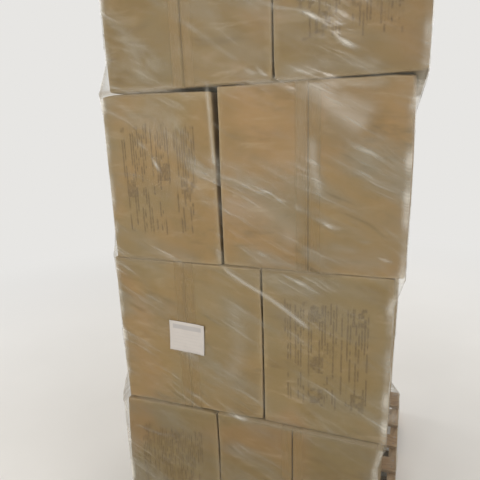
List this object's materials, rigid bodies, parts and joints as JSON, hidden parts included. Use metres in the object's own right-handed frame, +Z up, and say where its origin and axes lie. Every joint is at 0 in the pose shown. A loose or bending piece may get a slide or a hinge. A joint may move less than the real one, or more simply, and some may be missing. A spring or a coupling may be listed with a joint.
{
  "type": "wrapped pallet load of cartons",
  "caption": "Courses of taped kraft cartons laid on their sides and interlocked on a notched stringer pallet, held by clear stretch film with a plain label.",
  "frame": {"origin": "centre of the pallet's underside, on the floor", "axes": "+Z up, X across the narrow face of the load that the picture shows, +Y from that front face to the back"},
  "size_m": [1.0404, 1.2314, 2.3578],
  "materials": {
    "kraft_board": "matte brown kraft corrugated board",
    "packing_tape": "thin tan packing tape, satin",
    "stretch_film": "clear stretch film, glossy, hazy where it creases and overlaps",
    "label_paper": "white matte paper",
    "pallet_wood": "rough sawn softwood, unpainted"
  },
  "bodies": {
    "root": {"pallet_stringer_left": "pallet_wood", "pallet_stringer_centre": "pallet_wood", "pallet_stringer_right": "pallet_wood", "pallet_top_board_1": "pallet_wood", "pallet_top_board_2": "pallet_wood", "pallet_top_board_3": "pallet_wood", "pallet_top_board_4": "pallet_wood", "pallet_top_board_5": "pallet_wood", "pallet_top_board_6": "pallet_wood", "pallet_top_board_7": "pallet_wood", "pallet_bottom_board_1": "pallet_wood", "pallet_bottom_board_2": "pallet_wood", "pallet_bottom_board_3": "pallet_wood", "pallet_bottom_board_4": "pallet_wood", "pallet_bottom_board_5": "pallet_wood", "carton_course_1_turned_front": "kraft_board", "carton_course_1_turned_back": "kraft_board", "carton_course_1_flat_front": "kraft_board", "carton_course_1_flat_middle": "kraft_board", "carton_course_1_flat_back": "kraft_board", "tape_course_1": "packing_tape", "carton_course_2_turned_front": "kraft_board", "carton_course_2_turned_back": "kraft_board", "carton_course_2_flat_front": "kraft_board", "carton_course_2_flat_middle": "kraft_board", "carton_course_2_flat_back": "kraft_board", "tape_course_2": "packing_tape", "carton_course_3_turned_front": "kraft_board", "carton_course_3_turned_back": "kraft_board", "carton_course_3_flat_front": "kraft_board", "carton_course_3_flat_middle": "kraft_board", "carton_course_3_flat_back": "kraft_board", "tape_course_3": "packing_tape", "carton_course_4_turned_front": "kraft_board", "carton_course_4_turned_back": "kraft_board", "carton_course_4_flat_front": "kraft_board", "carton_course_4_flat_middle": "kraft_board", "carton_course_4_flat_back": "kraft_board", "tape_course_4": "packing_tape", "stretch_film": "stretch_film", "address_label": "label_paper"}
  },
  "joints": []
}
